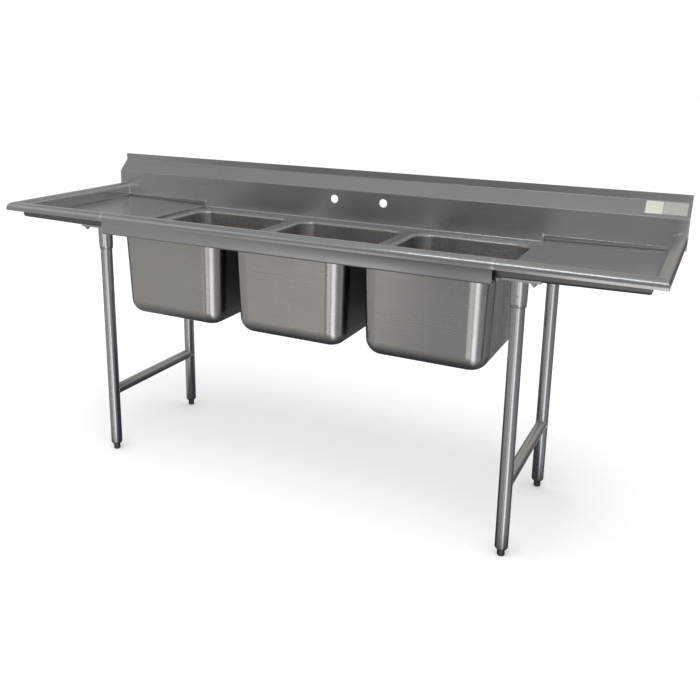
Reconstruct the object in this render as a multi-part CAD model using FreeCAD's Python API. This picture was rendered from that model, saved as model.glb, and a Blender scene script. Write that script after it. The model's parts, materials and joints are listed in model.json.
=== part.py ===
"""Free-standing three compartment sink in stainless sheet, with two drainboards.

Units are millimetres. The origin is on the floor under the middle of the sink's
footprint: +X runs along the sink to the user's right, +Y to the wall, +Z up.
"""
import FreeCAD, Part
import math
import os

V = FreeCAD.Vector
UP = V(0, 0, 1)

# Overall size
LENGTH = 2304.0               # over the rolled rims of both drainboards
DEPTH = 685.8                 # front of the rim to the back of the splash
SINK_LENGTH = 1397.0          # the middle section that holds the bowls
SHEET = 2.0                   # stainless sheet thickness of all sink panels
HALF_LENGTH = LENGTH / 2
HALF_SINK = SINK_LENGTH / 2
RIM_FRONT = -DEPTH / 2

# Heights above the floor
DECK_Z = 871.0                # top of the deck around the bowls
BOARD_LOW_Z = 883.0           # drainboard surface at the sink
BOARD_HIGH_Z = 889.0          # drainboard surface at its outer end
RIM_CREST_Z = 944.0
RIM_LIP_Z = 915.0             # lower edge of the rim's outer lip
SPLASH_TOP_Z = 1066.0
SPLASH_END_Z = 891.7          # lower edge of the splash beyond the drainboards

# Rolled rim
RIM_WIDTH = 43.9
RIM_RADIUS = RIM_WIDTH / 2
RIM_CENTER_Z = RIM_CREST_Z - RIM_RADIUS
WALL_Y = RIM_FRONT + RIM_WIDTH            # inner face of the front wall
WALL_X = HALF_LENGTH - RIM_WIDTH          # inner face of the end walls
COVE = 8.0                                # inside radius where panels meet
NOSE = 3.0                                # rounding of the step down to the deck
WALL_JOINT_Z = 915.0                      # where the drainboard wall meets its roll
RIM_WELD = 3.0                            # fillet weld where a side rim meets the splash

# Backsplash
SPLASH_Y = 294.7                          # front face of the splash
SPLASH_LIP_Z = 1040.0                     # foot of the upright edge at the wall
SPLASH_LIP_Y = DEPTH / 2 - SHEET          # front face of the upright edge
SPLASH_RETURN_Z = SPLASH_LIP_Z - (SPLASH_LIP_Y - SPLASH_Y)
SPLASH_BEND = 4.0
DECK_UPSTAND_Z = 880.0                    # seam between the deck and the splash
BOARD_UPSTAND_Z = 899.0                   # seam between a drainboard and the splash
FAUCET_SPACING = 203.2
FAUCET_HOLE_R = 16.0
FAUCET_Z = 956.0

# Two blank labels side by side on the 45 degree return
LABEL_THICKNESS = 0.5
LABEL_HEIGHT = 50.0                       # measured up the slope
LABEL_START = 12.5                        # up the slope from its lower bend
LABEL_SPANS = {"left_blank_label": (1014.0, 1066.5), "right_blank_label": (1067.5, 1141.0)}

# Front apron under the rim
APRON_Y = -334.0
APRON_BOTTOM_Z = 871.0
APRON_TOP_Z = 934.8
APRON_RETURN = 30.0
APRON_BEND = 3.5

# Bowls
BOWL_PITCH = 471.0
BOWL_HALF_X = 207.0
BOWL_HALF_Y = 254.0
BOWL_Y = -13.0                            # middle of the bowls, front to back
BOWL_LIP = 11.0                           # radius of the rolled lip
BOWL_CORNER_R = 60.0
BOWL_FLOOR_R = 52.0
BOWL_FLOOR_Z = 566.0
BOWL_DRAFT = math.tan(math.radians(2.0))
BOWL_NAMES = ("left", "center", "right")

# Drain fittings
DRAIN_HOLE_R = 44.5
DRAIN_RECESS_R = 58.0
DRAIN_RECESS = 5.0
STRAINER_FLANGE_R = 56.0
STRAINER_BODY_R = 43.5
STRAINER_BORE_R = 41.0
STRAINER_DEPTH = 40.0
OUTLET_R = 24.0
OUTLET_BORE_R = 20.5
OUTLET_LENGTH = 18.0
GASKET = 3.0
FRICTION_RING = 1.5
LOCKNUT = 10.0
BASKET_R = 37.0
BASKET_LIP_R = 46.0
BASKET_DEPTH = 26.0
BASKET_WALL = 1.2
BASKET_GAP = 0.4                          # the basket's lip over the strainer flange
BASKET_HOLE_R = 3.0
POST_R = 3.0
STOPPER_DEPTH = 9.0

# Legs
LEG_X = 757.6
LEG_FRONT_Y = -252.8
LEG_REAR_Y = 227.7
LEG_R = 20.64
LEG_WALL = 1.6
LEG_TOP_Z = 868.0
LEG_BOTTOM_Z = 30.0
RAIL_Z = 239.0
RAIL_R = 19.0

# Gussets
GUSSET_TOP_R = 25.4
GUSSET_LOW_R = 24.2
GUSSET_END_R = 22.0
GUSSET_BORE_R = 20.9
GUSSET_TAPER_Z = 806.0
GUSSET_BOTTOM_Z = 796.0
PLATE_BOTTOM_Z = 879.0
PLATE_INNER_X = 716.0
PLATE_OUTER_X = 826.0
PLATE_HALF_Y = 46.0
STUD_X = 806.0
STUD_SPREAD = 38.0
STUD_R = 3.2
STUD_BOTTOM_Z = 867.0
NUT_FLANGE_R = 11.0
NUT_FLATS = 12.7
SET_SCREW_R = 4.0
SET_SCREW_Z = 829.0

# Feet
INSERT_TOP_Z = 72.0
INSERT_BOTTOM_Z = 22.0
INSERT_NECK_R = 14.5
FOOT_R = 12.0
FOOT_TOP_Z = 21.6
STEM_R = 7.9
STEM_TOP_Z = 64.0

LEGS = {
    "front_left": (-LEG_X, LEG_FRONT_Y),
    "front_right": (LEG_X, LEG_FRONT_Y),
    "rear_left": (-LEG_X, LEG_REAR_Y),
    "rear_right": (LEG_X, LEG_REAR_Y),
}


# General shapes

def rounded_path(points, radii):
    """Wire through the points, each inner corner replaced by a tangent arc."""
    edges = []
    start = points[0]
    for before, corner, after, radius in zip(points, points[1:], points[2:], radii):
        back = (before - corner).normalize()
        ahead = (after - corner).normalize()
        half_angle = back.getAngle(ahead) / 2
        arc_start = corner + back * (radius / math.tan(half_angle))
        arc_end = corner + ahead * (radius / math.tan(half_angle))
        bisector = (back + ahead).normalize()
        arc_middle = corner + bisector * (radius / math.sin(half_angle) - radius)
        if (arc_start - start).Length > 1e-4:
            edges.append(Part.makeLine(start, arc_start))
        edges.append(Part.Arc(arc_start, arc_middle, arc_end).toShape())
        start = arc_end
    if (points[-1] - start).Length > 1e-4:
        edges.append(Part.makeLine(start, points[-1]))
    return Part.Wire(edges)


def sheet_section(points, radii, side):
    """Cross-section of a bent sheet in the YZ plane, one sheet thick beside its path."""
    path = rounded_path([V(0, y, z) for y, z in points], radii)
    return path.makeOffset2D(side * SHEET, 0, True, True)


def run_along_x(section, x_start, x_end):
    moved = section.translated(V(x_start, 0, 0))
    return moved.extrude(V(x_end - x_start, 0, 0))


def block(x_range, y_range, z_range):
    size = [abs(high - low) for low, high in (x_range, y_range, z_range)]
    return Part.makeBox(*size, V(min(x_range), min(y_range), min(z_range)))


def rounded_rectangle(center, half_x, half_y, z, radius):
    x = half_x - radius
    y = half_y - radius
    corners = [(-x, -y), (x, -y), (x, y), (-x, y), (-x, -y)]
    inner = Part.makePolygon([V(center[0] + dx, center[1] + dy, z) for dx, dy in corners])
    return inner.makeOffset2D(radius)


def rounded_prism(center, half_x, half_y, z_range, radius):
    outline = rounded_rectangle(center, half_x, half_y, z_range[0], radius)
    return Part.Face(outline).extrude(V(0, 0, z_range[1] - z_range[0]))


def cylinder(center, radius, z_range):
    return Part.makeCylinder(radius, z_range[1] - z_range[0], V(center[0], center[1], z_range[0]))


def ring(center, outer, inner, z_range):
    return cylinder(center, outer, z_range).cut(cylinder(center, inner, z_range))


def turned(center, outline):
    """Solid of revolution about a vertical axis, from (radius, z) corners."""
    corners = [V(center[0] + radius, center[1], z) for radius, z in outline]
    face = Part.Face(Part.makePolygon(corners + corners[:1]))
    return face.revolve(V(center[0], center[1], 0), UP, 360)


def edges_at_height(shape, z):
    return [e for e in shape.Edges if all(abs(v.Z - z) < 1e-3 for v in e.Vertexes)]


def hexagon_prism(center, across_flats, z_range):
    corner_r = across_flats / math.sqrt(3)
    corners = [V(center[0] + corner_r * math.cos(math.radians(60 * k)),
                 center[1] + corner_r * math.sin(math.radians(60 * k)), z_range[0])
               for k in range(7)]
    return Part.Face(Part.makePolygon(corners)).extrude(V(0, 0, z_range[1] - z_range[0]))


def mirrored(shape):
    """The same shape on the left side of the sink."""
    return shape.mirror(V(0, 0, 0), V(1, 0, 0))


# Panels of the sink

def bowl_center(index):
    return ((index - 1) * BOWL_PITCH, BOWL_Y)


def backsplash():
    """Vertical splash, 45 degree return and upright edge, stepped at its foot."""
    section = sheet_section(
        [(SPLASH_Y, DECK_UPSTAND_Z), (SPLASH_Y, SPLASH_RETURN_Z),
         (SPLASH_LIP_Y, SPLASH_LIP_Z), (SPLASH_LIP_Y, SPLASH_TOP_Z)],
        [SPLASH_BEND, SPLASH_BEND], 1)
    sheet = run_along_x(section, -HALF_LENGTH, HALF_LENGTH)
    depth = (SPLASH_Y - 1, SPLASH_Y + SHEET + 1)
    board_end = WALL_X + SHEET
    for side in (-1, 1):
        over_board = block((side * HALF_SINK, side * board_end), depth, (800, BOARD_UPSTAND_Z))
        beyond_board = block((side * board_end, side * HALF_LENGTH), depth, (800, SPLASH_END_Z))
        hole = Part.makeCylinder(FAUCET_HOLE_R, 20,
                                 V(side * FAUCET_SPACING / 2, SPLASH_Y - 10, FAUCET_Z), V(0, 1, 0))
        sheet = sheet.cut(over_board).cut(beyond_board).cut(hole)
    return sheet


def blank_label(span):
    """Thin label lying on the 45 degree return of the splash."""
    film = Part.makeBox(span[1] - span[0], LABEL_HEIGHT, LABEL_THICKNESS)
    film.rotate(V(0, 0, 0), V(1, 0, 0), 45)
    rise = LABEL_START * math.sin(math.radians(45))
    return film.translated(V(span[0], SPLASH_Y + rise, SPLASH_RETURN_Z + rise))


def sink_top():
    """Deck with three bowl cut-outs, front wall and rolled rim, one bent sheet."""
    section = sheet_section(
        [(SPLASH_Y, DECK_UPSTAND_Z), (SPLASH_Y, DECK_Z), (WALL_Y, DECK_Z),
         (WALL_Y, RIM_CREST_Z), (RIM_FRONT, RIM_CREST_Z), (RIM_FRONT, RIM_LIP_Z)],
        [COVE, COVE, RIM_RADIUS, RIM_RADIUS], -1)
    sheet = run_along_x(section, -HALF_SINK, HALF_SINK)
    for index in range(3):
        opening = rounded_prism(bowl_center(index), BOWL_HALF_X + BOWL_LIP, BOWL_HALF_Y + BOWL_LIP,
                                (DECK_Z - 10, DECK_Z + 5), BOWL_CORNER_R + BOWL_LIP)
        sheet = sheet.cut(opening)
    return sheet


def sloping_block(inset, x_start):
    """Drainboard trough space: inset 0 is the inner faces, SHEET is the outer faces."""
    slope = (BOARD_HIGH_Z - BOARD_LOW_Z) / (WALL_X - HALF_SINK)
    x_end = WALL_X + inset
    front = WALL_Y - inset
    back = SPLASH_Y + inset
    top = RIM_CREST_Z
    low_z = BOARD_LOW_Z + (x_start - HALF_SINK) * slope - inset
    high_z = BOARD_LOW_Z + (x_end - HALF_SINK) * slope - inset
    corners = [V(x_start, front, low_z), V(x_end, front, high_z),
               V(x_end, front, top), V(x_start, front, top), V(x_start, front, low_z)]
    solid = Part.Face(Part.makePolygon(corners)).extrude(V(0, back - front, 0))
    floor_edges = []
    for edge in solid.Edges:
        middle = edge.valueAt((edge.FirstParameter + edge.LastParameter) / 2)
        if middle.z < high_z + 0.01 and middle.x > x_start + 0.01:
            floor_edges.append(edge)
    return solid.makeFillet(COVE + inset, floor_edges)


def board_rim(along_y):
    """Wall top and roll of the drainboard, along its front or along its outer end."""
    section = sheet_section(
        [(WALL_Y, WALL_JOINT_Z), (WALL_Y, RIM_CREST_Z),
         (RIM_FRONT, RIM_CREST_Z), (RIM_FRONT, RIM_LIP_Z)],
        [RIM_RADIUS, RIM_RADIUS], -1)
    corner = V(HALF_LENGTH, RIM_FRONT, 0)
    if not along_y:
        rim = run_along_x(section, HALF_SINK, HALF_LENGTH)
        beyond = [corner + V(1, -1, 0), corner + V(1, 100, 0), corner + V(-100, 100, 0)]
    else:
        end_section = section.copy()
        end_section.rotate(V(0, 0, 0), UP, 90)
        end_section.translate(V(HALF_LENGTH + RIM_FRONT, RIM_FRONT, 0))
        rim = end_section.extrude(V(0, SPLASH_Y - RIM_FRONT, 0))
        beyond = [corner + V(1, -1, 0), corner + V(-100, -1, 0), corner + V(-100, 100, 0)]
    wedge = Part.Face(Part.makePolygon(beyond + beyond[:1])).extrude(V(0, 0, 1200))
    return rim.cut(wedge)


def right_drainboard():
    """Sloping trough with a coved floor, rolled rim and a step down to the deck."""
    x_past = HALF_SINK - 20
    tray = sloping_block(SHEET, x_past).cut(sloping_block(0, x_past))
    tray = tray.cut(block((x_past - 1, HALF_SINK), (-400, 400), (800, 1000)))
    tray = tray.cut(block((HALF_SINK, HALF_LENGTH), (-400, 400), (WALL_JOINT_Z, 1000)))
    tray = tray.cut(block((HALF_SINK, HALF_LENGTH), (SPLASH_Y, 400), (BOARD_UPSTAND_Z, 1000)))
    riser = block((HALF_SINK, HALF_SINK + SHEET), (WALL_Y - SHEET, SPLASH_Y + SHEET),
                  (DECK_Z - SHEET, BOARD_LOW_Z - SHEET / 2))
    riser_corners = [e for e in edges_at_height(riser, DECK_Z - SHEET) if e.Length < 2 * SHEET]
    riser = riser.makeFillet(COVE + SHEET, riser_corners)
    board = tray.fuse([riser, board_rim(False), board_rim(True)])
    nose_y = (WALL_Y + COVE, SPLASH_Y - COVE)
    nose = block((HALF_SINK, HALF_SINK + NOSE), nose_y, (BOARD_LOW_Z - NOSE, BOARD_LOW_Z + NOSE))
    nose_round = Part.makeCylinder(NOSE, nose_y[1] - nose_y[0],
                                   V(HALF_SINK + NOSE, nose_y[0], BOARD_LOW_Z - NOSE), V(0, 1, 0))
    return board.cut(nose.cut(nose_round)).removeSplitter()


def rim_end_welds():
    """Half-ring fillet welds where the two side rims meet the splash."""
    foot = [V(RIM_RADIUS, SPLASH_Y, 0), V(RIM_RADIUS + RIM_WELD, SPLASH_Y, 0),
            V(RIM_RADIUS, SPLASH_Y - RIM_WELD, 0)]
    triangle = Part.Face(Part.makePolygon(foot + foot[:1]))
    bead = triangle.revolve(V(0, 0, 0), V(0, -1, 0), 180)
    right = bead.translated(V(HALF_LENGTH - RIM_RADIUS, 0, RIM_CENTER_Z))
    right = right.cut(block((HALF_LENGTH, HALF_LENGTH + 20), (0, DEPTH), (RIM_LIP_Z, 1000)))
    return Part.makeCompound([right, mirrored(right)])


def front_apron():
    """Flat skirt below the rim along the bowls, with a turned-in lower flange."""
    section = sheet_section(
        [(APRON_Y, APRON_TOP_Z), (APRON_Y, APRON_BOTTOM_Z), (APRON_Y + APRON_RETURN, APRON_BOTTOM_Z)],
        [APRON_BEND], 1)
    return run_along_x(section, -HALF_SINK, HALF_SINK)


def bowl_space(center, inset):
    """Drafted bowl volume below the lip: inset 0 is the inside, SHEET is the outside."""
    lip_z = DECK_Z - BOWL_LIP
    floor_z = BOWL_FLOOR_Z - inset
    narrowing = (lip_z - floor_z) * BOWL_DRAFT
    upper = rounded_rectangle(center, BOWL_HALF_X + inset, BOWL_HALF_Y + inset, lip_z,
                              BOWL_CORNER_R + inset)
    lower = rounded_rectangle(center, BOWL_HALF_X + inset - narrowing,
                              BOWL_HALF_Y + inset - narrowing, floor_z,
                              BOWL_CORNER_R + inset - narrowing / 2)
    space = Part.makeLoft([upper, lower], True, True)
    return space.makeFillet(BOWL_FLOOR_R + inset, edges_at_height(space, floor_z))


def lip_block(center, inset):
    """Block under the cut-out, its opening rounded over at the top by the lip radius."""
    z_range = (DECK_Z - BOWL_LIP, DECK_Z - inset)
    outer = rounded_prism(center, BOWL_HALF_X + BOWL_LIP, BOWL_HALF_Y + BOWL_LIP, z_range,
                          BOWL_CORNER_R + BOWL_LIP)
    opening = rounded_prism(center, BOWL_HALF_X + inset, BOWL_HALF_Y + inset,
                            (z_range[0] - 1, z_range[1]), BOWL_CORNER_R + inset)
    collar = outer.cut(opening)
    inner_edges = [e for e in edges_at_height(collar, z_range[1])
                   if abs(e.Vertexes[0].X - center[0]) < BOWL_HALF_X + inset + 0.1
                   and abs(e.Vertexes[0].Y - center[1]) < BOWL_HALF_Y + inset + 0.1]
    return collar.makeFillet(BOWL_LIP - inset - 0.01, inner_edges)


def bowl(center):
    """Drawn bowl: rolled lip, drafted walls, rounded floor and a drain recess."""
    shell = bowl_space(center, SHEET).cut(bowl_space(center, 0))
    lip = lip_block(center, 0).cut(lip_block(center, SHEET))
    shell = shell.fuse(lip)
    recess_z = BOWL_FLOOR_Z - DRAIN_RECESS
    pocket = cylinder(center, DRAIN_RECESS_R + SHEET, (recess_z - SHEET, BOWL_FLOOR_Z - SHEET / 2))
    shell = shell.fuse(pocket)
    shell = shell.cut(cylinder(center, DRAIN_RECESS_R, (recess_z, BOWL_FLOOR_Z + 1)))
    shell = shell.cut(cylinder(center, DRAIN_HOLE_R, (recess_z - 5, BOWL_FLOOR_Z)))
    return shell.removeSplitter()


# Drain fittings, one set under each bowl

def strainer_body(center):
    """Flanged cup that sits in the drain recess and ends in a threaded outlet."""
    seat_z = BOWL_FLOOR_Z - DRAIN_RECESS
    flange_z = seat_z + 2.5
    cup_z = seat_z - STRAINER_DEPTH
    outlet_z = cup_z - OUTLET_LENGTH
    return turned(center, [
        (STRAINER_FLANGE_R, seat_z), (STRAINER_FLANGE_R - 1, flange_z),
        (STRAINER_BORE_R + 1.5, flange_z), (STRAINER_BORE_R, flange_z - 1.5),
        (STRAINER_BORE_R, cup_z + 8), (STRAINER_BORE_R - 6, cup_z + 2), (OUTLET_BORE_R, cup_z),
        (OUTLET_BORE_R, outlet_z), (OUTLET_R - 0.8, outlet_z), (OUTLET_R, outlet_z + 0.8),
        (OUTLET_R, cup_z - 3), (STRAINER_BODY_R - 6, cup_z - 1), (STRAINER_BODY_R, cup_z + 6),
        (STRAINER_BODY_R, seat_z)])


def drain_stack_top():
    """Underside of the drain recess, where the gasket starts."""
    return BOWL_FLOOR_Z - DRAIN_RECESS - SHEET


def drain_gasket(center):
    top = drain_stack_top()
    return ring(center, DRAIN_RECESS_R, STRAINER_BODY_R + 0.1, (top - GASKET, top))


def friction_ring(center):
    top = drain_stack_top() - GASKET
    return ring(center, DRAIN_RECESS_R - 2, STRAINER_BODY_R + 0.1, (top - FRICTION_RING, top))


def drain_locknut(center):
    """Ring nut with four wrench lugs."""
    top = drain_stack_top() - GASKET - FRICTION_RING
    z_range = (top - LOCKNUT, top)
    nut = cylinder(center, DRAIN_RECESS_R - 6, z_range)
    for quarter in range(2):
        lug = block((center[0] - DRAIN_RECESS_R - 1, center[0] + DRAIN_RECESS_R + 1),
                    (center[1] - 6, center[1] + 6), z_range)
        lug.rotate(V(center[0], center[1], 0), UP, 90 * quarter + 45)
        nut = nut.fuse(lug)
    return nut.cut(cylinder(center, STRAINER_BODY_R + 0.05, z_range)).removeSplitter()


def basket_lip_z():
    return BOWL_FLOOR_Z - DRAIN_RECESS + 2.5 + BASKET_GAP


def basket_floor_z():
    return basket_lip_z() - BASKET_DEPTH


def strainer_basket(center):
    """Lift-out cup with a lip, two rings of drain holes and a hole for its post."""
    lip_z = basket_lip_z()
    floor_z = basket_floor_z()
    wall = BASKET_WALL
    basket = turned(center, [
        (POST_R + 0.1, floor_z), (BASKET_R - 5, floor_z), (BASKET_R, floor_z + 5), (BASKET_R, lip_z),
        (BASKET_LIP_R, lip_z), (BASKET_LIP_R, lip_z + wall), (BASKET_R - wall, lip_z + wall),
        (BASKET_R - wall, floor_z + 5.5), (BASKET_R - 5.5, floor_z + wall),
        (POST_R + 0.1, floor_z + wall)])
    holes = []
    for row_r, count in ((15, 6), (25, 10)):
        for k in range(count):
            angle = 2 * math.pi * k / count
            spot = (center[0] + row_r * math.cos(angle), center[1] + row_r * math.sin(angle))
            holes.append(cylinder(spot, BASKET_HOLE_R, (floor_z - 1, floor_z + wall + 1)))
    return basket.cut(holes)


def basket_stopper(center):
    """Rubber plug under the basket, held on the foot of its centre post."""
    top = basket_floor_z()
    foot_z = top - STOPPER_DEPTH
    return turned(center, [(POST_R + 0.1, top), (11, top), (9, top - 3), (24, top - 5), (27, top - 8),
                           (24, foot_z), (POST_R + 0.1, foot_z)])


def basket_post(center):
    """Centre post: rivet head under the stopper, shoulder above the floor, knob at the top."""
    floor_z = basket_floor_z() + BASKET_WALL
    foot_z = basket_floor_z() - STOPPER_DEPTH
    knob_z = basket_lip_z() + 4
    return turned(center, [
        (0, foot_z - 2.5), (4, foot_z - 2.5), (6, foot_z - 1), (6, foot_z), (POST_R, foot_z),
        (POST_R, floor_z), (5, floor_z), (5, floor_z + 1.5), (POST_R, floor_z + 3),
        (POST_R, knob_z), (8, knob_z + 2), (8, knob_z + 6), (6, knob_z + 8), (0, knob_z + 8)])


# Legs

def leg_gusset(spot):
    """Tapered socket for a leg, with the plate that carries it under the drainboard."""
    side = 1 if spot[0] > 0 else -1
    top_z = PLATE_BOTTOM_Z + 0.5
    socket = turned(spot, [
        (GUSSET_BORE_R, GUSSET_BOTTOM_Z), (GUSSET_END_R, GUSSET_BOTTOM_Z),
        (GUSSET_LOW_R, GUSSET_TAPER_Z), (GUSSET_TOP_R, top_z), (GUSSET_BORE_R, top_z)])
    plate = block((PLATE_INNER_X, PLATE_OUTER_X),
                  (spot[1] - PLATE_HALF_Y, spot[1] + PLATE_HALF_Y),
                  (PLATE_BOTTOM_Z, BOARD_HIGH_Z))
    plate = plate.cut(sloping_block(SHEET, HALF_SINK - 20))
    if side < 0:
        plate = mirrored(plate)
    screw_hole = Part.makeCylinder(SET_SCREW_R, 60, V(spot[0], spot[1], SET_SCREW_Z), V(0, -1, 0))
    gusset = socket.fuse(plate).cut(screw_hole)
    for stud in stud_spots(spot):
        gusset = gusset.cut(cylinder(stud, STUD_R, (PLATE_BOTTOM_Z - 1, BOARD_HIGH_Z)))
    return gusset.removeSplitter()


def stud_spots(spot):
    side = 1 if spot[0] > 0 else -1
    return [(side * STUD_X, spot[1] + shift) for shift in (-STUD_SPREAD, STUD_SPREAD)]


def all_stud_spots():
    return [stud for spot in LEGS.values() for stud in stud_spots(spot)]


def gusset_studs():
    """Weld studs on the underside of the drainboards."""
    board = sloping_block(SHEET, HALF_SINK - 20)
    boards = [board, mirrored(board)]
    studs = [cylinder(spot, STUD_R, (STUD_BOTTOM_Z, BOARD_HIGH_Z)).cut(boards)
             for spot in all_stud_spots()]
    return Part.makeCompound(studs)


def gusset_nuts():
    """Flange nuts on the weld studs."""
    nuts = []
    for spot in all_stud_spots():
        flange = cylinder(spot, NUT_FLANGE_R, (PLATE_BOTTOM_Z - 2, PLATE_BOTTOM_Z))
        hexagon = hexagon_prism(spot, NUT_FLATS, (PLATE_BOTTOM_Z - 8, PLATE_BOTTOM_Z - 1.5))
        nuts.append(flange.fuse(hexagon).cut(cylinder(spot, STUD_R, (800, 900))))
    return Part.makeCompound(nuts)


def gusset_set_screws():
    """Socket screws that clamp each leg in its gusset, on the front side."""
    screws = []
    for x, y in LEGS.values():
        start = V(x, y - LEG_R - 0.05, SET_SCREW_Z)
        screw = Part.makeCylinder(SET_SCREW_R, 5.5, start, V(0, -1, 0))
        socket = Part.makeCylinder(2.0, 3, start + V(0, -3.5, 0), V(0, -1, 0))
        screws.append(screw.cut(socket))
    return Part.makeCompound(screws)


def leg(spot):
    return ring(spot, LEG_R, LEG_R - LEG_WALL, (LEG_BOTTOM_Z, LEG_TOP_Z))


def side_rail(side):
    """Tube from the front leg to the rear leg, its ends coped to the leg tubes."""
    length = LEG_REAR_Y - LEG_FRONT_Y
    start = V(side * LEG_X, LEG_FRONT_Y, RAIL_Z)
    tube = Part.makeCylinder(RAIL_R, length, start, V(0, 1, 0))
    tube = tube.cut(Part.makeCylinder(RAIL_R - LEG_WALL, length, start, V(0, 1, 0)))
    for y in (LEG_FRONT_Y, LEG_REAR_Y):
        tube = tube.cut(cylinder((side * LEG_X, y), LEG_R, (RAIL_Z - 60, RAIL_Z + 60)))
    return tube


def foot_insert(spot):
    """Plug pressed into the leg, its shoulder rounding in under the tube."""
    plug_r = LEG_R - LEG_WALL
    shoulder = INSERT_BOTTOM_Z
    return turned(spot, [
        (STEM_R + 0.05, INSERT_TOP_Z), (plug_r, INSERT_TOP_Z), (plug_r, LEG_BOTTOM_Z),
        (LEG_R, LEG_BOTTOM_Z), (LEG_R - 1, shoulder + 5), (LEG_R - 3.5, shoulder + 2),
        (INSERT_NECK_R, shoulder), (STEM_R + 0.05, shoulder)])


def foot(spot):
    """Screw-in foot: threaded stem above a short rounded pad."""
    return turned(spot, [
        (0, 0), (FOOT_R - 3, 0), (FOOT_R - 0.8, 1.2), (FOOT_R, 3.5), (FOOT_R, FOOT_TOP_Z - 1),
        (FOOT_R - 1, FOOT_TOP_Z), (STEM_R, FOOT_TOP_Z), (STEM_R, STEM_TOP_Z - 1.5),
        (STEM_R - 1.5, STEM_TOP_Z), (0, STEM_TOP_Z)])


def all_parts():
    """Every node's name and shape."""
    board = right_drainboard()
    parts = {
        "backsplash": backsplash(),
        "sink_top": sink_top(),
        "front_apron": front_apron(),
        "right_drainboard": board,
        "left_drainboard": mirrored(board),
        "rim_end_welds": rim_end_welds(),
        "gusset_studs": gusset_studs(),
        "gusset_nuts": gusset_nuts(),
        "gusset_set_screws": gusset_set_screws(),
        "left_side_rail": side_rail(-1),
        "right_side_rail": side_rail(1),
    }
    for name, span in LABEL_SPANS.items():
        parts[name] = blank_label(span)
    for index, name in enumerate(BOWL_NAMES):
        center = bowl_center(index)
        parts[name + "_bowl"] = bowl(center)
        parts[name + "_strainer_body"] = strainer_body(center)
        parts[name + "_drain_gasket"] = drain_gasket(center)
        parts[name + "_friction_ring"] = friction_ring(center)
        parts[name + "_drain_locknut"] = drain_locknut(center)
        parts[name + "_strainer_basket"] = strainer_basket(center)
        parts[name + "_basket_stopper"] = basket_stopper(center)
        parts[name + "_basket_post"] = basket_post(center)
    for name, spot in LEGS.items():
        parts[name + "_gusset"] = leg_gusset(spot)
        parts[name + "_leg"] = leg(spot)
        parts[name + "_foot_insert"] = foot_insert(spot)
        parts[name + "_foot"] = foot(spot)
    return parts


def main():
    os.makedirs("parts", exist_ok=True)
    for name, shape in all_parts().items():
        solids = shape.Solids
        out = solids[0] if len(solids) == 1 else Part.makeCompound(solids)
        out.exportStep("parts/" + name + ".step")
        print(name, len(solids), out.isValid(), round(out.Volume / 1000, 1))


main()
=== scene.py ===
"""Looks of a free-standing three compartment sink: steel, welds, detail, light and camera."""

import json
import math

import bmesh
import bpy
from mathutils import Matrix, Vector, noise


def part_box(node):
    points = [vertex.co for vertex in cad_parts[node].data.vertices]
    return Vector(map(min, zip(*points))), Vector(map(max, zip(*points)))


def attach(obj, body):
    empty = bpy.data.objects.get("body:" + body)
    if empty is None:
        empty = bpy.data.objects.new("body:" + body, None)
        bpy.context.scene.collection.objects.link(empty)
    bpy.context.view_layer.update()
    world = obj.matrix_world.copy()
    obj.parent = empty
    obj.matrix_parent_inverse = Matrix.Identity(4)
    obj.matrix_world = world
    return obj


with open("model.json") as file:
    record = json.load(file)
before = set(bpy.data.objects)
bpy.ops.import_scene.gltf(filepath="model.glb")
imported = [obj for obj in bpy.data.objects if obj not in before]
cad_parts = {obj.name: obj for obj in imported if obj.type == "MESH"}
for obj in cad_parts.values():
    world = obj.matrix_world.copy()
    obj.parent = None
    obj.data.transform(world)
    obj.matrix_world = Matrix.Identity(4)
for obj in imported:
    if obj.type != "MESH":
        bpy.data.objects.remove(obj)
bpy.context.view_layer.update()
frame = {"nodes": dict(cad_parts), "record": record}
NODES = frame["nodes"]
SINK = "sink_frame"

# Camera: place in metres, then the directions of the lens in degrees
CAMERA_PLACE = Vector((1.2736, -2.4734, 1.4540))
CAMERA_YAW = 26.8
CAMERA_PITCH = 13.9
CAMERA_ROLL = 0.7
CAMERA_LENS = 41.8
CAMERA_SHIFT = (0.031, -0.1196)

# Places on the sink, in metres, from the frame
TOP_LOW, TOP_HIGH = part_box("sink_top")
SEAM_X = TOP_HIGH[0]                    # where the middle section meets the drainboards
RIM_FRONT = TOP_LOW[1]
RIM_CREST = TOP_HIGH[2]
RIM_R = 0.02195
RIM_LIP = 0.915
BOWL_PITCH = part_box("right_bowl")[0][0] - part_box("center_bowl")[0][0]
BOWL_MIDDLE_Y = (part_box("center_bowl")[0][1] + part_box("center_bowl")[1][1]) / 2
SPLASH_Y = 0.2947
END_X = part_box("backsplash")[1][0]
WALL_X = END_X - 2 * RIM_R
WALL_Y = RIM_FRONT + 2 * RIM_R
BOARD_Z = 0.889                         # drainboard surface at its outer end
COVE_REACH = 0.0065                     # how far the painted shade in the coves reaches from the walls
BOARD_SEAM_Z = 0.899                    # where the drainboards' upstands meet the splash
DECK_Z = 0.871                          # top of the deck round the bowls
TRAY_WALL_Z = 0.890                     # where the drainboards' walls leave their coves
CORNER_WELD_Z = 0.8975                  # foot of the upright welds in the trays' corners
LABEL_JOINT_X = 1.067
LEG_R = 0.02064
RAIL_R = 0.019
SKIN = 0.0005                           # tells a sheet's outer face from its inner one
UNDER_LIP = 0.0004                      # how far below the rim's lip the painted shade begins

# Radii of the welds, seams and rolled edges added here, in metres
RAIL_WELD_R = 0.0016
STEP_WELD_R = 0.0036
STEP_KNOB_R = 0.0066
BOARD_SEAM_R = 0.0015
CORNER_WELD_R = 0.006
MITRE_SEAM_R = 0.0007
RIM_END_BEAD_R = 0.0022
RIM_END_BEAD_GAP = 0.0025               # from the side rim to the middle of its end bead
HOLE_EDGE_R = 0.0009
GUSSET_LIP_R = 0.0015


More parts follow.
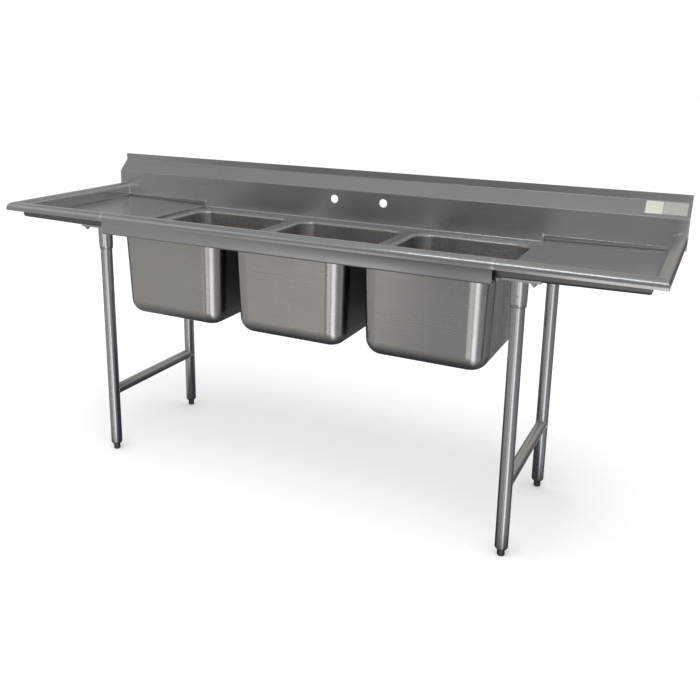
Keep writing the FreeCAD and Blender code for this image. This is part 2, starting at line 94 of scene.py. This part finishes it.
# Shader helpers

class Shader:
    """A material's node tree with short calls for the nodes used here."""

    def __init__(self, tree):
        self.tree = tree
        self.tree.nodes.clear()

    def put(self, socket, value):
        if isinstance(value, bpy.types.NodeSocket):
            self.tree.links.new(value, socket)
        else:
            socket.default_value = value

    def node(self, kind, inputs=None, **settings):
        made = self.tree.nodes.new(kind)
        for name, value in settings.items():
            setattr(made, name, value)
        for name, value in (inputs or {}).items():
            self.put(made.inputs[name], value)
        return made

    def math(self, operation, a, b=0.0):
        return self.node("ShaderNodeMath", {0: a, 1: b}, operation=operation).outputs[0]

    def mix(self, factor, a, b):
        mixed = self.node("ShaderNodeMix", {"Factor": factor}, data_type="RGBA")
        self.put(mixed.inputs[6], a)
        self.put(mixed.inputs[7], b)
        return mixed.outputs[2]

    def spread(self, value, low, high, new_low=0.0, new_high=1.0):
        return self.node("ShaderNodeMapRange", {"Value": value, "From Min": low, "From Max": high,
                                                "To Min": new_low, "To Max": new_high}).outputs[0]

    def noise(self, place, scale, stretch=(1, 1, 1), detail=3.0, roughness=0.5):
        moved = self.node("ShaderNodeMapping", {"Vector": place, "Scale": stretch}).outputs[0]
        made = self.node("ShaderNodeTexNoise", {"Vector": moved, "Scale": scale, "Detail": detail,
                                                "Roughness": roughness})
        return made.outputs["Fac"]

    def ramp(self, value, stops):
        made = self.node("ShaderNodeValToRGB", {"Fac": value})
        elements = made.color_ramp.elements
        while len(elements) < len(stops):
            elements.new(0.5)
        for element, (position, color) in zip(elements, stops):
            element.position = position
            element.color = (*color, 1)
        return made.outputs["Color"]

    def bump(self, height, distance, below=None):
        inputs = {"Strength": 1.0, "Distance": distance, "Height": height}
        if below is not None:
            inputs["Normal"] = below
        return self.node("ShaderNodeBump", inputs).outputs[0]


def shade(color, factor):
    return tuple(min(1.0, channel * factor) for channel in color) + (1,)


GRAIN = {"x": (1, 200, 200), "y": (200, 1, 200), "z": (200, 200, 1)}
STREAK = {"x": (1, 26, 26), "y": (26, 1, 26), "z": (26, 26, 1)}
AXIS = {"x": (1, 0, 0), "y": (0, 1, 0), "z": (0, 0, 1)}


def steel_tone(tree, place, grain, color, contrast):
    """Colour of brushed sheet: fine streaks along the grain over soft smudges."""
    streak = tree.noise(place, 3.0, STREAK[grain], 4.0, 0.6)
    smudge = tree.noise(place, 4.5, (1, 1, 1), 5.0, 0.6)
    tone = tree.math("ADD", tree.math("MULTIPLY", streak, 0.45),
                     tree.math("MULTIPLY", smudge, 0.55))
    base = tree.mix(tree.spread(tone, 0.3, 0.7), shade(color, 1 - contrast),
                    shade(color, 1 + contrast))
    return base, smudge


def painted_tray_shade(tree, place):
    """1 on the drainboard trays' outer faces below the rims, and a little less in their coves.
    Their darker colour is painted shade under the rims and in the coves; more roughness is a guess."""
    axes = tree.node("ShaderNodeSeparateXYZ", {"Vector": place}).outputs
    away = tree.math("ABSOLUTE", axes["X"])
    low = tree.math("LESS_THAN", axes["Z"], RIM_LIP - UNDER_LIP)
    front = tree.math("LESS_THAN", axes["Y"], WALL_Y - SKIN)
    end = tree.math("GREATER_THAN", away, WALL_X + SKIN)
    outside = tree.math("MULTIPLY", low, tree.math("MAXIMUM", front, end))
    full = 0.6 * COVE_REACH
    near_back = tree.spread(axes["Y"], SPLASH_Y - COVE_REACH, SPLASH_Y - full)
    near_front = tree.spread(axes["Y"], WALL_Y + COVE_REACH, WALL_Y + full)
    near_end = tree.spread(away, WALL_X - COVE_REACH, WALL_X - full)
    near = tree.math("MAXIMUM", near_back, tree.math("MAXIMUM", near_front, near_end))
    deep = tree.spread(axes["Z"], BOARD_Z + COVE_REACH, BOARD_Z + full, 0.0, 0.85)
    return tree.math("MAXIMUM", outside, tree.math("MULTIPLY", near, deep))


def painted_gap_shade(tree, place):
    """1 on the outsides of the bowls that face a neighbour. Their darker colour is painted shade,
    for the near black shade and dark reflections between the bowls; more roughness is a guess."""
    x = tree.node("ShaderNodeSeparateXYZ", {"Vector": place}).outputs["X"]
    normal = tree.node("ShaderNodeTexCoord").outputs["Normal"]
    across = tree.node("ShaderNodeSeparateXYZ", {"Vector": normal}).outputs["X"]
    nearest = tree.math("ROUND", tree.math("DIVIDE", x, BOWL_PITCH))
    side = tree.math("SIGN", tree.math("SUBTRACT", x, tree.math("MULTIPLY", nearest, BOWL_PITCH)))
    outward = tree.spread(tree.math("MULTIPLY", across, side), 0.78, 0.93)
    between = tree.math("LESS_THAN", tree.math("ABSOLUTE", x), BOWL_PITCH)
    return tree.math("MULTIPLY", outward, between)


def painted_lip_shadow(tree, place):
    """1 on the apron close below the rim's lip, most of all to the right, where it is darkest. The
    darker colour is painted shadow of the lip; more roughness there is a guess."""
    axes = tree.node("ShaderNodeSeparateXYZ", {"Vector": place}).outputs
    shade_z = tree.spread(axes["Z"], 0.880, RIM_LIP - 0.001)
    below = tree.math("LESS_THAN", axes["Z"], RIM_LIP - UNDER_LIP)
    front = tree.math("LESS_THAN", axes["Y"], WALL_Y - 0.02)
    right = tree.spread(axes["X"], -0.45, 0.35, 0.12, 1.0)
    deep = tree.math("MULTIPLY", tree.math("MULTIPLY", shade_z, right), 0.9)
    return tree.math("MULTIPLY", tree.math("MULTIPLY", below, front), deep)


def brushed_steel(name, color, roughness, grain, anisotropy=0.7, turn=0.25, waviness=0.0003,
                  wave_scale=3.5, contrast=0.05, scratches=0.00001, dents=None, painted_shade=None):
    """Stainless steel brushed along one axis. Turn 0.25 blurs reflections across the grain axis,
    and turn 0 along it, as on tube polished round its girth. Dents add hand-worked ripples, and
    the last mask says where painted shade darkens the colour and roughness rises."""
    material = bpy.data.materials.new("look_" + name)
    material.use_nodes = True
    tree = Shader(material.node_tree)
    place = tree.node("ShaderNodeTexCoord").outputs["Object"]
    base, smudge = steel_tone(tree, place, grain, color, contrast)
    fine = tree.noise(place, 5.0, GRAIN[grain], 2.0, 0.7)
    rough = tree.math("ADD", tree.spread(smudge, 0.3, 0.7, roughness - 0.025, roughness + 0.035),
                      tree.spread(fine, 0.2, 0.8, -0.02, 0.02))
    # Painted shade: the masked places get a darker base colour standing in for shade, and more
    # roughness.
    if painted_shade is not None:
        where = painted_shade(tree, place)
        base = tree.mix(where, base, shade(color, 0.42))
        rough = tree.math("ADD", rough, tree.math("MULTIPLY", where, 0.12))
    wave = tree.noise(place, wave_scale, (1, 1, 1), 1.0, 0.4)
    normal = tree.bump(wave, waviness)
    if dents is not None:
        normal = dents(tree, place, normal)
    normal = tree.bump(fine, scratches, normal)
    along = tree.node("ShaderNodeCombineXYZ", dict(zip("XYZ", AXIS[grain]))).outputs[0]
    shader = tree.node("ShaderNodeBsdfPrincipled", {
        "Base Color": base, "Metallic": 1.0, "Roughness": rough, "Anisotropic": anisotropy,
        "Anisotropic Rotation": turn, "Normal": normal, "Tangent": along})
    tree.node("ShaderNodeOutputMaterial", {"Surface": shader.outputs[0]})
    return material


def bowl_corner_ripples(tree, place, normal):
    """Ripples left by drawing and polishing, only in the upright corners of the bowls."""
    axes = tree.node("ShaderNodeSeparateXYZ", {"Vector": place}).outputs
    column = tree.math("ROUND", tree.math("DIVIDE", axes["X"], BOWL_PITCH))
    side = tree.math("ABSOLUTE", tree.math("SUBTRACT", axes["X"],
                                           tree.math("MULTIPLY", column, BOWL_PITCH)))
    depth = tree.math("ABSOLUTE", tree.math("SUBTRACT", axes["Y"], BOWL_MIDDLE_Y))
    corner = tree.math("MULTIPLY", tree.spread(side, 0.140, 0.168),
                       tree.spread(depth, 0.185, 0.214))
    ripple = tree.noise(place, 34.0, (1, 1, 0.8), 3.0, 0.6)
    return tree.bump(tree.math("MULTIPLY", ripple, corner), 0.00045, normal)


def weld_ripples(tree, place, normal):
    """Lumps and ripples of a dressed weld."""
    lump = tree.noise(place, 160.0, (1, 1, 1), 3.0, 0.6)
    return tree.bump(lump, 0.00035, normal)


def tube_marks(tree, place, normal):
    """Faint rings of the polishing belt round a leg tube, and a few handling knocks."""
    rings = tree.noise(place, 3.0, (6, 6, 60), 2.0, 0.5)
    knocks = tree.noise(place, 60.0, (1, 1, 1), 2.0, 0.5)
    raised = tree.bump(rings, 0.00004, normal)
    return tree.bump(tree.spread(knocks, 0.68, 0.8), 0.00006, raised)


def speckled(name, color, roughness, grain_size=200.0, metallic=0.0, bump=0.0002):
    """Plain rubber, fibre, film or cast surface with a fine speckle."""
    material = bpy.data.materials.new("look_" + name)
    material.use_nodes = True
    tree = Shader(material.node_tree)
    place = tree.node("ShaderNodeTexCoord").outputs["Object"]
    speck = tree.noise(place, grain_size, detail=4.0, roughness=0.6)
    base = tree.mix(speck, shade(color, 0.8), shade(color, 1.2))
    rough = tree.spread(speck, 0.3, 0.7, roughness - 0.06, roughness + 0.06)
    shader = tree.node("ShaderNodeBsdfPrincipled", {
        "Base Color": base, "Metallic": metallic, "Roughness": rough,
        "Normal": tree.bump(speck, bump)})
    tree.node("ShaderNodeOutputMaterial", {"Surface": shader.outputs[0]})
    return material


def label_film():
    """Blank label film, a little creased: cream on the left label, grey-beige on the right one."""
    material = bpy.data.materials.new("look_label_film")
    material.use_nodes = True
    tree = Shader(material.node_tree)
    place = tree.node("ShaderNodeTexCoord").outputs["Object"]
    axes = tree.node("ShaderNodeSeparateXYZ", {"Vector": place}).outputs
    clouds = tree.noise(place, 40.0, (1, 1, 1), 3.0, 0.6)
    cream = tree.mix(clouds, (0.44, 0.44, 0.36, 1), (0.56, 0.56, 0.48, 1))
    beige = tree.mix(clouds, (0.26, 0.26, 0.235, 1), (0.36, 0.36, 0.32, 1))
    base = tree.mix(tree.math("GREATER_THAN", axes["X"], LABEL_JOINT_X), cream, beige)
    creases = tree.noise(place, 25.0, (1, 3, 3), 2.0, 0.5)
    shader = tree.node("ShaderNodeBsdfPrincipled", {
        "Base Color": base, "Roughness": tree.spread(clouds, 0.3, 0.7, 0.38, 0.50),
        "Normal": tree.bump(creases, 0.0004)})
    tree.node("ShaderNodeOutputMaterial", {"Surface": shader.outputs[0]})
    return material


def make_materials():
    steel = (0.60, 0.60, 0.60)
    made = [
        brushed_steel("splash_steel", (0.58, 0.585, 0.60), 0.30, "x", 0.75),
        # Painted shade on deck, drainboard and bowl steel: below the rim's lip, on the trays'
        # outsides and coves, and on the bowls' sides facing each other.
        brushed_steel("deck_steel", steel, 0.23, "x", 0.6, waviness=0.00012, painted_shade=painted_lip_shadow),
        brushed_steel("drainboard_steel", steel, 0.23, "x", 0.6, waviness=0.00012, painted_shade=painted_tray_shade),
        brushed_steel("bowl_steel", (0.62, 0.60, 0.58), 0.26, "x", 0.82, contrast=0.006,
                      scratches=0.0000003, dents=bowl_corner_ripples, painted_shade=painted_gap_shade),
        brushed_steel("weld_bead", (0.74, 0.73, 0.71), 0.22, "x", 0.1, dents=weld_ripples),
        brushed_steel("fastener_steel", (0.45, 0.45, 0.47), 0.32, "z", 0.3),
        brushed_steel("leg_tube_steel", steel, 0.24, "z", 0.85, 0.0, dents=tube_marks),
        brushed_steel("gusset_steel", (0.62, 0.61, 0.60), 0.24, "z", 0.6, 0.0, dents=tube_marks),
        brushed_steel("foot_steel", (0.42, 0.42, 0.44), 0.30, "z", 0.5, 0.0),
        brushed_steel("drain_steel", (0.66, 0.66, 0.66), 0.20, "x", 0.2),
        speckled("drain_rubber", (0.025, 0.025, 0.025), 0.7),
        speckled("fibre_ring", (0.36, 0.26, 0.15), 0.85),
        speckled("locknut_brass", (0.62, 0.45, 0.20), 0.42, 300.0, 1.0),
        label_film(),
    ]
    return {material.name.removeprefix("look_"): material for material in made}


def dress_nodes():
    """Every carried-over CAD node takes the finish of its own slot."""
    slots = {part["node"]: part["material_slot"] for part in frame["record"]["subparts"]}
    for name, node in NODES.items():
        node.data.materials.clear()
        node.data.materials.append(MATERIALS[slots[name]])


# Added pieces

def add_piece(name, points, faces, slot, body=SINK):
    mesh = bpy.data.meshes.new(name)
    mesh.from_pydata([tuple(point) for point in points], [], faces)
    shape = bmesh.new()
    shape.from_mesh(mesh)
    bmesh.ops.recalc_face_normals(shape, faces=shape.faces)
    shape.to_mesh(mesh)
    shape.free()
    for polygon in mesh.polygons:
        polygon.use_smooth = True
    mesh.materials.append(MATERIALS[slot])
    piece = bpy.data.objects.new(name, mesh)
    bpy.context.collection.objects.link(piece)
    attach(piece, body)
    return piece


def tube_mesh(path, radii, closed, sides=10):
    """Points and faces of a tube round a path, with one radius for each path point."""
    count = len(path)
    points, faces = [], []
    across = None
    for k, middle in enumerate(path):
        ahead = path[(k + 1) % count] if closed or k < count - 1 else middle
        behind = path[(k - 1) % count] if closed or k > 0 else middle
        along = (ahead - behind).normalized()
        if across is None:
            across = along.orthogonal()
        across = (across - along * across.dot(along)).normalized()
        up = along.cross(across)
        for side in range(sides):
            angle = 2 * math.pi * side / sides
            points.append(middle + (across * math.cos(angle) + up * math.sin(angle)) * radii[k])
    spans = count if closed else count - 1
    for k in range(spans):
        row, after = k * sides, ((k + 1) % count) * sides
        for side in range(sides):
            beside = (side + 1) % sides
            faces.append((row + side, row + beside, after + beside, after + side))
    if not closed:
        faces.append(tuple(range(sides)))
        faces.append(tuple(range((count - 1) * sides, count * sides)))
    return points, faces


def bead_radii(path, radius, unevenness=0.18):
    """Radii of a weld bead laid in overlapping drops, a little uneven."""
    radii = []
    run = 0.0
    for k, point in enumerate(path):
        run += (point - path[k - 1]).length if k else 0.0
        drop = 0.06 * math.sin(run / radius * 2.2)
        radii.append(radius * (1 + drop + unevenness * noise.noise(point * 240)))
    return radii


def add_bead(name, path, radius, closed=False, taper=False):
    radii = bead_radii(path, radius)
    if taper:
        last = len(path) - 1
        radii = [r * min(1.0, 0.35 + 4 * min(k, last - k) / last) for k, r in enumerate(radii)]
    points, faces = tube_mesh(path, radii, closed)
    return add_piece(name, points, faces, "weld_bead")


def saddle_path(leg_x, leg_y, height, side, steps=56):
    """Where a side rail's outside meets the round of a leg."""
    path = []
    for k in range(steps):
        angle = 2 * math.pi * k / steps
        across = RAIL_R * math.cos(angle)
        path.append(Vector((leg_x + across, leg_y + side * math.sqrt(LEG_R ** 2 - across ** 2),
                            height + RAIL_R * math.sin(angle))))
    return path


def make_rail_welds():
    for hand in ("left", "right"):
        low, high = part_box(hand + "_side_rail")
        height = (low[2] + high[2]) / 2
        for end, side in (("front", 1), ("rear", -1)):
            low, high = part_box(f"{end}_{hand}_leg")
            middle = ((low[0] + high[0]) / 2, (low[1] + high[1]) / 2)
            add_bead(f"{end}_{hand}_rail_weld", saddle_path(*middle, height, side),
                     RAIL_WELD_R, True)


def rim_outline(steps=28):
    """Section of the rolled rim in Y and Z, with outward normals: inner wall, roll, outer lip."""
    middle_y, middle_z = RIM_FRONT + RIM_R, RIM_CREST - RIM_R
    outline = [((WALL_Y, TRAY_WALL_Z + k * (middle_z - TRAY_WALL_Z) / 6), (1.0, 0.0))
               for k in range(6)]
    for k in range(steps + 1):
        angle = math.pi * k / steps
        normal = (math.cos(angle), math.sin(angle))
        outline.append(((middle_y + RIM_R * normal[0], middle_z + RIM_R * normal[1]), normal))
    outline.append(((RIM_FRONT, RIM_LIP + 0.001), (-1.0, 0.0)))
    return outline


def add_rim_seam(name, seam_x, half_width, height):
    """Dressed weld across the rim: a low uneven swelling that fades out at its edges."""
    outline = rim_outline()
    across = 16
    points, faces = [], []
    for (y, z), (normal_y, normal_z) in outline:
        wander = 0.002 * noise.noise(Vector((seam_x * 9, y * 60, z * 60)))
        edge = half_width * (1 + 0.45 * noise.noise(Vector((seam_x * 5, y * 45, z * 45))))
        for k in range(across + 1):
            u = 2 * k / across - 1
            x = seam_x + wander + edge * u
            lift = height * (1 - u * u) - 0.00012
            lift += 0.00012 * noise.noise(Vector((x * 300, y * 300, z * 300))) * (1 - u * u)
            points.append((x, y + normal_y * lift, z + normal_z * lift))
    row = across + 1
    for k in range(len(outline) - 1):
        for m in range(across):
            at = k * row + m
            faces.append((at, at + 1, at + row + 1, at + row))
    return add_piece(name, points, faces, "weld_bead")


def corner_strip(corner, first, second, radius, z_range, steps=8):
    """Upright concave fillet between two walls that leave the corner along first and second."""
    middle = corner + (first + second) * radius
    start, end = -second, -first
    points, faces = [], []
    rows = 14
    for k in range(rows + 1):
        z = z_range[0] + (z_range[1] - z_range[0]) * k / rows
        for m in range(steps + 1):
            angle = math.pi / 2 * m / steps
            arm = start * math.cos(angle) + end * math.sin(angle)
            spot = middle + arm * radius
            points.append((spot.x, spot.y, z))
    across = steps + 1
    for k in range(rows):
        for m in range(steps):
            at = k * across + m
            faces.append((at, at + 1, at + across + 1, at + across))
    return points, faces


def make_panel_welds():
    """Dressed seams where the middle section and the drainboards were welded together."""
    for side, hand in ((-1, "left"), (1, "right")):
        add_rim_seam(hand + "_rim_seam", side * SEAM_X, 0.007, 0.00025)
        step = [Vector((side * SEAM_X, SPLASH_Y - 0.0005, DECK_Z + 0.0014 * k)) for k in range(26)]
        add_bead(hand + "_step_weld", step, STEP_WELD_R, taper=True)
        board = [Vector((side * (SEAM_X + (WALL_X - SEAM_X) * k / 120), SPLASH_Y - 0.0002,
                         BOARD_SEAM_Z)) for k in range(121)]
        add_bead(hand + "_board_back_seam", board, BOARD_SEAM_R)
        knob = [Vector((side * (SEAM_X + 0.001), SPLASH_Y - 0.002, 0.8885 + 0.0011 * k))
                for k in range(12)]
        radii = [STEP_KNOB_R * math.sin(math.pi * (k + 0.6) / 12.2) for k in range(12)]
        points, faces = tube_mesh(knob, radii, False, 14)
        add_piece(hand + "_step_knob", points, faces, "weld_bead")
        for end, y, into in (("rear", SPLASH_Y, -1), ("front", WALL_Y, 1)):
            corner = Vector((side * WALL_X, y, 0))
            points, faces = corner_strip(corner, Vector((-side, 0, 0)), Vector((0, into, 0)),
                                         CORNER_WELD_R, (CORNER_WELD_Z, RIM_CREST - RIM_R))
            add_piece(f"{end}_{hand}_corner_weld", points, faces, "weld_bead")


def ring_path(middle, radius, flat_axis, steps=48):
    path = []
    for k in range(steps):
        angle = 2 * math.pi * k / steps
        a, b = radius * math.cos(angle), radius * math.sin(angle)
        offset = Vector((a, b, 0)) if flat_axis == "z" else Vector((a, 0, b))
        path.append(middle + offset)
    return path


def make_rim_corner_welds():
    """Mitre seams at the front corners of the rim, and the polished welds at its back ends."""
    for side, hand in ((-1, "left"), (1, "right")):
        mitre = [Vector((side * (END_X - (y - RIM_FRONT)), y, z)) for (y, z), _ in rim_outline()]
        points, faces = tube_mesh(mitre, [MITRE_SEAM_R] * len(mitre), False, 8)
        add_piece(hand + "_rim_mitre_seam", points, faces, "weld_bead")
        reach = RIM_R + RIM_END_BEAD_GAP
        arc = []
        for k in range(49):
            angle = math.radians(28 + 152 * k / 48)
            arc.append(Vector((side * (END_X - RIM_R + reach * math.cos(angle)), SPLASH_Y - 0.0012,
                               RIM_CREST - RIM_R + reach * math.sin(angle))))
        add_bead(hand + "_rim_end_bead", arc, RIM_END_BEAD_R)


def make_faucet_hole_edges():
    """Punched edges of the two faucet holes, rolled slightly proud of the splash."""
    mount = next(m for m in frame["record"]["mounts"] if m["name"] == "faucet_holes")
    radius = mount["dims"]["hole_r_mm"] / 1000
    for side, hand in ((-1, "left"), (1, "right")):
        middle = Vector((side * mount["dims"]["spacing_x_mm"] / 2000, SPLASH_Y, mount["pos_m"][2]))
        path = ring_path(middle, radius + 0.0004, "y")
        points, faces = tube_mesh(path, [HOLE_EDGE_R] * len(path), True)
        add_piece(hand + "_faucet_hole_edge", points, faces, "splash_steel")


def make_gusset_lips():
    """Rolled lower edge of each leg gusset."""
    for end in ("front", "rear"):
        for hand in ("left", "right"):
            low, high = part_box(f"{end}_{hand}_leg")
            socket_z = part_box(f"{end}_{hand}_gusset")[0][2]
            middle = Vector(((low[0] + high[0]) / 2, (low[1] + high[1]) / 2, socket_z + 0.0012))
            path = ring_path(middle, LEG_R + 0.0018, "z", 64)
            points, faces = tube_mesh(path, [GUSSET_LIP_R] * len(path), True)
            add_piece(f"{end}_{hand}_gusset_lip", points, faces, "fastener_steel")


# Surroundings

# What the steel mirrors, fitted to the reflections in the photograph. Each ring starts at a height
# (the Z of a direction, from none of it to all of it), and its stops are degrees from straight
# ahead of the sink, positive to the right, with a colour.
RINGS = (
    # close floor
    ((-0.92, -0.60), (
        (-180, (0.12, 0.12, 0.13)), (-140, (0.14, 0.14, 0.16)), (-95, (0.27, 0.27, 0.28)),
        (-40, (0.27, 0.265, 0.26)), (11, (0.26, 0.255, 0.26)), (19, (0.9, 0.9, 0.95)),
        (24, (1.60, 1.60, 1.70)), (38, (1.60, 1.60, 1.70)), (46, (0.9, 0.9, 0.95)),
        (54, (0.34, 0.33, 0.36)), (95, (0.33, 0.32, 0.33)), (125, (0.06, 0.06, 0.07)),
        (159, (0.05, 0.05, 0.06)), (163, (0.50, 0.48, 0.46)), (170, (0.50, 0.48, 0.46)),
        (176, (0.05, 0.05, 0.06)))),
    # open floor
    ((-0.407, -0.35), (
        (-180, (0.05, 0.05, 0.06)), (-140, (0.06, 0.06, 0.08)), (-95, (0.34, 0.34, 0.34)),
        (-60, (0.43, 0.41, 0.40)), (-37, (0.53, 0.51, 0.49)), (-30, (0.80, 0.76, 0.73)),
        (-23, (1.10, 1.03, 0.98)), (-20.5, (0.21, 0.215, 0.21)), (-16, (0.30, 0.295, 0.29)),
        (-14, (0.14, 0.14, 0.145)), (-12.5, (0.12, 0.12, 0.13)), (-11, (1.75, 1.66, 1.58)),
        (7, (1.75, 1.75, 1.75)), (14, (0.45, 0.40, 0.48)), (20, (1.75, 1.77, 1.86)),
        (36, (1.60, 1.62, 1.76)), (44, (0.36, 0.34, 0.40)), (60, (0.28, 0.27, 0.31)),
        (100, (0.30, 0.29, 0.29)), (140, (0.30, 0.29, 0.29)), (146, (0.035, 0.04, 0.06)),
        (159, (0.035, 0.04, 0.06)), (163, (0.56, 0.54, 0.52)), (170, (0.56, 0.54, 0.52)),
        (176, (0.05, 0.05, 0.06)))),
    # far floor
    ((-0.215, -0.175), (
        (-180, (0.10, 0.10, 0.10)), (-130, (0.10, 0.10, 0.10)), (-60, (0.34, 0.335, 0.33)),
        (-38, (0.22, 0.215, 0.21)), (-34, (0.18, 0.185, 0.18)), (-30, (0.15, 0.15, 0.17)),
        (-26, (0.16, 0.165, 0.18)), (-20, (0.24, 0.235, 0.26)), (-13, (0.26, 0.26, 0.265)),
        (0, (0.23, 0.23, 0.25)), (30, (0.20, 0.20, 0.22)), (78, (0.15, 0.15, 0.17)),
        (100, (0.12, 0.12, 0.13)), (150, (0.06, 0.06, 0.07)), (180, (0.10, 0.10, 0.10)))),
    # walls
    ((-0.05, 0.02), (
        (-180, (0.40, 0.38, 0.36)), (-140, (0.30, 0.30, 0.30)), (-95, (0.36, 0.36, 0.36)),
        (-40, (0.38, 0.365, 0.35)), (-14, (0.20, 0.20, 0.205)), (-2, (0.16, 0.16, 0.17)),
        (6, (0.8, 0.8, 0.82)), (44, (0.95, 0.95, 0.98)), (54, (0.4, 0.4, 0.42)),
        (78, (0.10, 0.10, 0.13)), (88, (0.03, 0.035, 0.06)), (112, (0.16, 0.16, 0.17)),
        (130, (0.03, 0.035, 0.06)), (160, (0.40, 0.38, 0.36)), (180, (0.40, 0.38, 0.36)))),
    # skylight
    ((0.26, 0.36), (
        (-180, (0.46, 0.44, 0.42)), (-70, (0.58, 0.56, 0.54)), (-32, (0.58, 0.56, 0.54)),
        (-20, (0.22, 0.22, 0.23)), (-3, (0.20, 0.20, 0.21)), (10, (0.45, 0.45, 0.46)),
        (180, (0.46, 0.44, 0.42)))),
)
OVERHEAD = (0.62, 0.70)                 # height where the ceiling takes over
CEILING = ((0.70, (0.26, 0.27, 0.28)), (0.80, (0.32, 0.33, 0.335)),
           (0.90, (0.41, 0.405, 0.395)), (0.97, (0.36, 0.355, 0.34)))
BELOW = (0.10, 0.10, 0.105, 1)


def make_world():
    """White to the eye; in reflections the rings above, fixed to the sink and not to the camera."""
    world = bpy.data.worlds.new("studio")
    bpy.context.scene.world = world
    world.use_nodes = True
    tree = Shader(world.node_tree)
    direction = tree.node("ShaderNodeTexCoord").outputs["Generated"]
    axes = tree.node("ShaderNodeSeparateXYZ", {"Vector": direction}).outputs
    bearing = tree.math("ARCTAN2", axes["X"], tree.math("MULTIPLY", axes["Y"], -1.0))
    turn = tree.math("ADD", tree.math("DIVIDE", bearing, 2 * math.pi), 0.5)
    room = BELOW
    for (low, high), stops in RINGS:
        ring = tree.ramp(turn, [(0.5 + degrees / 360, color) for degrees, color in stops])
        room = tree.mix(tree.spread(axes["Z"], low, high), room, ring)
    overhead = tree.ramp(axes["Z"], CEILING)
    room = tree.mix(tree.spread(axes["Z"], *OVERHEAD), room, overhead)
    rays = tree.node("ShaderNodeLightPath").outputs
    seen = tree.mix(rays["Is Glossy Ray"], (1.0, 1.0, 1.0, 1), room)
    background = tree.node("ShaderNodeBackground", {"Color": seen, "Strength": 1.0})
    tree.node("ShaderNodeOutputWorld", {"Surface": background.outputs[0]})


def make_floor():
    """Plain pale floor. Reflections show a painted shadow under the sink, and past that the rings.
    """
    mesh = bpy.data.meshes.new("floor")
    half = 40.0
    mesh.from_pydata([(-half, -half, 0), (half, -half, 0), (half, half, 0), (-half, half, 0)],
                     [], [(0, 1, 2, 3)])
    floor = bpy.data.objects.new("floor", mesh)
    bpy.context.collection.objects.link(floor)
    material = bpy.data.materials.new("floor")
    material.use_nodes = True
    tree = Shader(material.node_tree)
    place = tree.node("ShaderNodeTexCoord").outputs["Object"]
    axes = tree.node("ShaderNodeSeparateXYZ", {"Vector": place}).outputs
    lit = tree.node("ShaderNodeBsdfDiffuse", {"Color": (0.9, 0.9, 0.9, 1)})
    glow = tree.node("ShaderNodeEmission", {"Color": (1.0, 1.0, 1.0, 1), "Strength": 0.12})
    pale = tree.node("ShaderNodeAddShader", {0: lit.outputs[0], 1: glow.outputs[0]})
    # Painted shadow: reflected near the sink, the floor is a fixed dark emission, not lit shade;
    # further out reflections pass through to the rings.
    shadow = tree.node("ShaderNodeEmission", {"Color": (0.035, 0.038, 0.05, 1), "Strength": 1.0})
    clear = tree.node("ShaderNodeBsdfTransparent")
    beside = tree.spread(tree.math("ABSOLUTE", axes["X"]), 0.80, 0.95)
    before = tree.spread(tree.math("MULTIPLY", axes["Y"], -1.0), 0.26, 0.42)
    behind = tree.spread(axes["Y"], 0.35, 0.75)
    outside = tree.math("MAXIMUM", tree.math("MAXIMUM", beside, before), behind)
    mirrored = tree.node("ShaderNodeMixShader", {0: outside, 1: shadow.outputs[0],
                                                 2: clear.outputs[0]})
    rays = tree.node("ShaderNodeLightPath").outputs
    mixed = tree.node("ShaderNodeMixShader", {0: rays["Is Glossy Ray"], 1: pale.outputs[0],
                                              2: mirrored.outputs[0]})
    tree.node("ShaderNodeOutputMaterial", {"Surface": mixed.outputs[0]})
    mesh.materials.append(material)


def area_light(name, place, target, size, power, color=(1, 1, 1), glossy=True):
    light = bpy.data.lights.new(name, "AREA")
    light.shape = "RECTANGLE"
    light.size = size[0]
    light.size_y = size[1]
    light.energy = power
    light.color = color
    lamp = bpy.data.objects.new(name, light)
    lamp.location = place
    lamp.rotation_euler = (Vector(target) - Vector(place)).to_track_quat("-Z", "Y").to_euler()
    lamp.visible_camera = False
    lamp.visible_glossy = glossy
    bpy.context.collection.objects.link(lamp)
    return lamp


def make_lights():
    area_light("tubes", (0.25, -2.4, 3.0), (0.25, -0.34, 0.94), (2.0, 0.22), 8.0, (0.97, 0.98, 1.0))
    area_light("ceiling", (0.3, -0.9, 3.6), (0.0, 0.0, 0.5), (4.0, 3.0), 60.0, glossy=False)


def make_camera():
    yaw, pitch, roll = (math.radians(a) for a in (CAMERA_YAW, CAMERA_PITCH, CAMERA_ROLL))
    forward = Vector((-math.sin(yaw) * math.cos(pitch), math.cos(yaw) * math.cos(pitch),
                      -math.sin(pitch)))
    level = forward.cross(Vector((0, 0, 1))).normalized()
    upright = level.cross(forward)
    right = level * math.cos(roll) + upright * math.sin(roll)
    up = upright * math.cos(roll) - level * math.sin(roll)
    data = bpy.data.cameras.new("camera")
    data.lens = CAMERA_LENS
    data.shift_x, data.shift_y = CAMERA_SHIFT
    camera = bpy.data.objects.new("camera", data)
    axes = Matrix((right, up, -forward)).transposed()
    camera.matrix_world = Matrix.Translation(CAMERA_PLACE) @ axes.to_4x4()
    bpy.context.collection.objects.link(camera)
    bpy.context.scene.camera = camera


make_camera()
MATERIALS = make_materials()
dress_nodes()
make_rail_welds()
make_panel_welds()
make_rim_corner_welds()
make_faucet_hole_edges()
make_gusset_lips()
make_world()
make_floor()
make_lights()
bpy.context.scene.view_settings.view_transform = "Standard"
